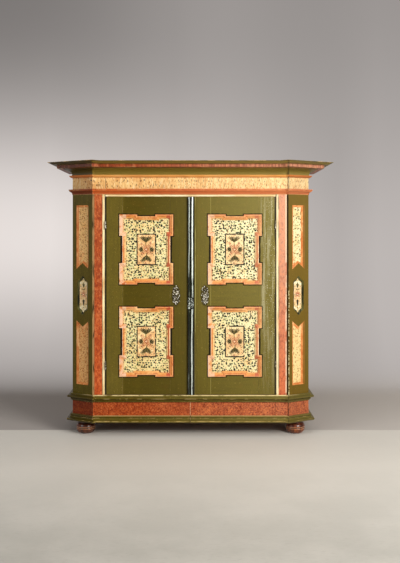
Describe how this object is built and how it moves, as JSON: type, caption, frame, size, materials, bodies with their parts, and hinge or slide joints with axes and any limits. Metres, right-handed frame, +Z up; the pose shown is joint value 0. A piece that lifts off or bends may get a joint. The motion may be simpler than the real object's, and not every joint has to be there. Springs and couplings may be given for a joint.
{
  "type": "painted two-door cupboard",
  "caption": "Painted pine cupboard with two panelled doors, canted front corners, a wide moulded cornice and turned bun feet.",
  "frame": {"origin": "on the floor under the centre of the overall box", "axes": "+X to the right seen from the front, +Y to the back, +Z up; the doors face -Y"},
  "size_m": [1.952, 0.7246, 1.868],
  "materials": {
    "green_paint": "aged olive-green oil paint with brush marks and rubbed edges",
    "red_paint": "marbled orange-red paint",
    "cream_paint": "cream paint flecked with black and green",
    "orange_paint": "orange paint, worn on the edges",
    "black_gloss": "glossy black-green lacquer",
    "foot_varnish": "dark red-brown varnish",
    "raw_pine": "bare aged pine",
    "iron": "bright worn iron"
  },
  "bodies": {
    "root": {"back_panel": "raw_pine", "base_moulding_left": "green_paint", "base_moulding_right": "green_paint", "bottom_board": "raw_pine", "corner_post_left": "green_paint", "corner_post_right": "green_paint", "cornice_cove": "green_paint", "cornice_crown": "green_paint", "foot_back_left": "foot_varnish", "foot_back_right": "foot_varnish", "foot_front_left": "foot_varnish", "foot_front_right": "foot_varnish", "frieze": "cream_paint", "front_stile_left": "red_paint", "front_stile_right": "red_paint", "head_rail": "cream_paint", "hinge_frame_leaf_left_lower": "iron", "hinge_frame_leaf_left_upper": "iron", "hinge_frame_leaf_right_lower": "iron", "hinge_frame_leaf_right_upper": "iron", "neck_moulding": "red_paint", "plinth_left": "red_paint", "plinth_right": "red_paint", "shelf_1": "raw_pine", "shelf_2": "raw_pine", "shelf_3": "raw_pine", "side_panel_left": "green_paint", "side_panel_right": "green_paint", "top_board": "raw_pine", "waist_moulding": "green_paint"},
    "door_left": {"door_bolt_plate": "iron", "door_left_hinge_leaf_lower": "iron", "door_left_hinge_leaf_upper": "iron", "door_left_key_plate": "iron", "door_left_moulding_lower": "orange_paint", "door_left_moulding_upper": "orange_paint", "door_left_panel_lower": "cream_paint", "door_left_panel_upper": "cream_paint", "door_left_rail_bottom": "green_paint", "door_left_rail_middle": "green_paint", "door_left_rail_top": "green_paint", "door_left_stile_hinge": "green_paint", "door_left_stile_meeting": "green_paint"},
    "door_right": {"door_right_cover_strip": "black_gloss", "door_right_hinge_leaf_lower": "iron", "door_right_hinge_leaf_upper": "iron", "door_right_key_plate": "iron", "door_right_moulding_lower": "orange_paint", "door_right_moulding_upper": "orange_paint", "door_right_panel_lower": "cream_paint", "door_right_panel_upper": "cream_paint", "door_right_rail_bottom": "green_paint", "door_right_rail_middle": "green_paint", "door_right_rail_top": "green_paint", "door_right_stile_hinge": "green_paint", "door_right_stile_meeting": "green_paint", "lock_case": "iron"},
    "lock_bolt": {"lock_bolt": "iron"},
    "door_bolt": {"door_bolt": "iron"}
  },
  "joints": [
    {"name": "door_left_hinge", "type": "hinge", "parent": "root", "child": "door_left", "pos_m": [-0.5815, -0.16375, 0.96], "axis": [0, 0, -1], "range_deg": [0, 110]},
    {"name": "door_right_hinge", "type": "hinge", "parent": "root", "child": "door_right", "pos_m": [0.5815, -0.16375, 0.96], "axis": [0, 0, 1], "range_deg": [0, 110]},
    {"name": "lock_bolt_slide", "type": "slide", "parent": "door_right", "child": "lock_bolt", "axis": [-1, 0, 0], "range_m": [0, 0.024]},
    {"name": "door_bolt_slide", "type": "slide", "parent": "door_left", "child": "door_bolt", "axis": [0, 0, 1], "range_m": [0, 0.025]}
  ]
}
